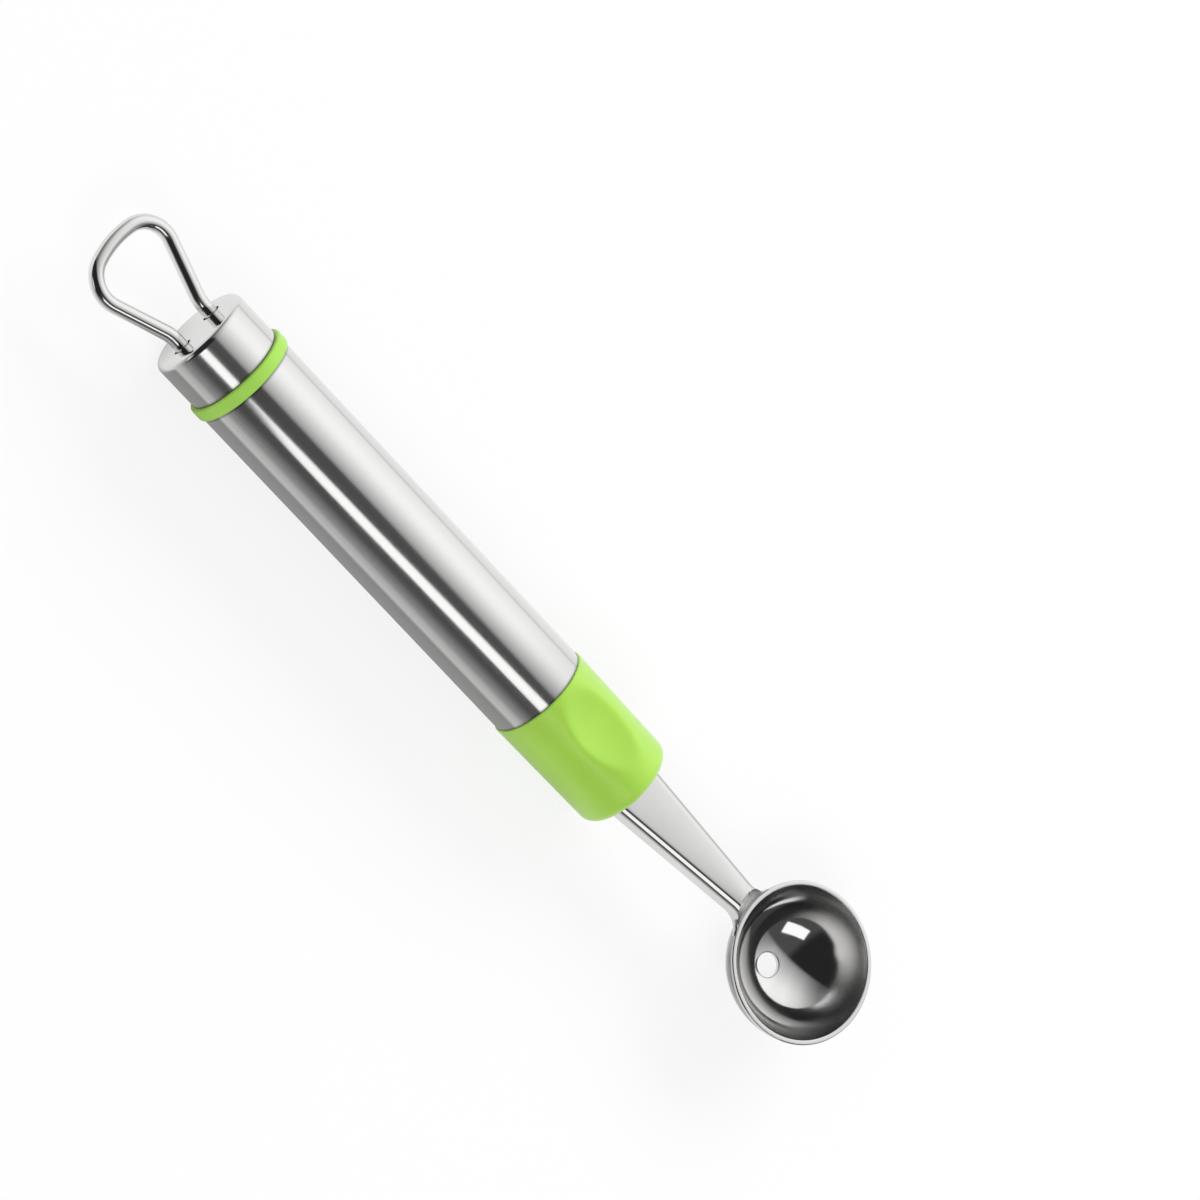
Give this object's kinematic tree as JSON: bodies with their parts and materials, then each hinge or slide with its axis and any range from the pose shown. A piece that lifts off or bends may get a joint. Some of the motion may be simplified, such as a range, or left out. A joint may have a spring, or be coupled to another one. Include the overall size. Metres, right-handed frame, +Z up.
{
  "type": "melon baller",
  "caption": "Melon baller with a round bowl on a tapered steel shank, a steel tube handle with a soft thumb grip, and a wire hanging loop.",
  "frame": {"origin": "under the middle of the whole tool's bounding box, on the level surface that the tool lies on", "axes": "+X runs along the handle from the hanging loop to the bowl, +Z is up, out of the open side of the bowl, and +Y is across"},
  "size_m": [0.1884, 0.0282, 0.0189],
  "materials": {
    "polished_steel": "mirror polished",
    "satin_steel": "satin",
    "brushed_steel": "fine lengthwise sheen",
    "green_rubber": "smooth, slightly glossy",
    "green_plastic": "gloss",
    "core_plastic": "moulded, hidden"
  },
  "bodies": {
    "handle": {"bowl": "polished_steel", "shank": "satin_steel", "grip_core": "core_plastic", "thumb_grip": "green_rubber", "handle_tube": "brushed_steel", "ring_band": "green_plastic", "end_plug": "core_plastic", "end_cap": "brushed_steel"},
    "loop": {"hanging_loop": "polished_steel"}
  },
  "joints": [
    {"name": "loop_slide", "type": "slide", "parent": "handle", "child": "loop", "axis": [1, 0, 0], "range_m": [0, 0.0018]}
  ]
}
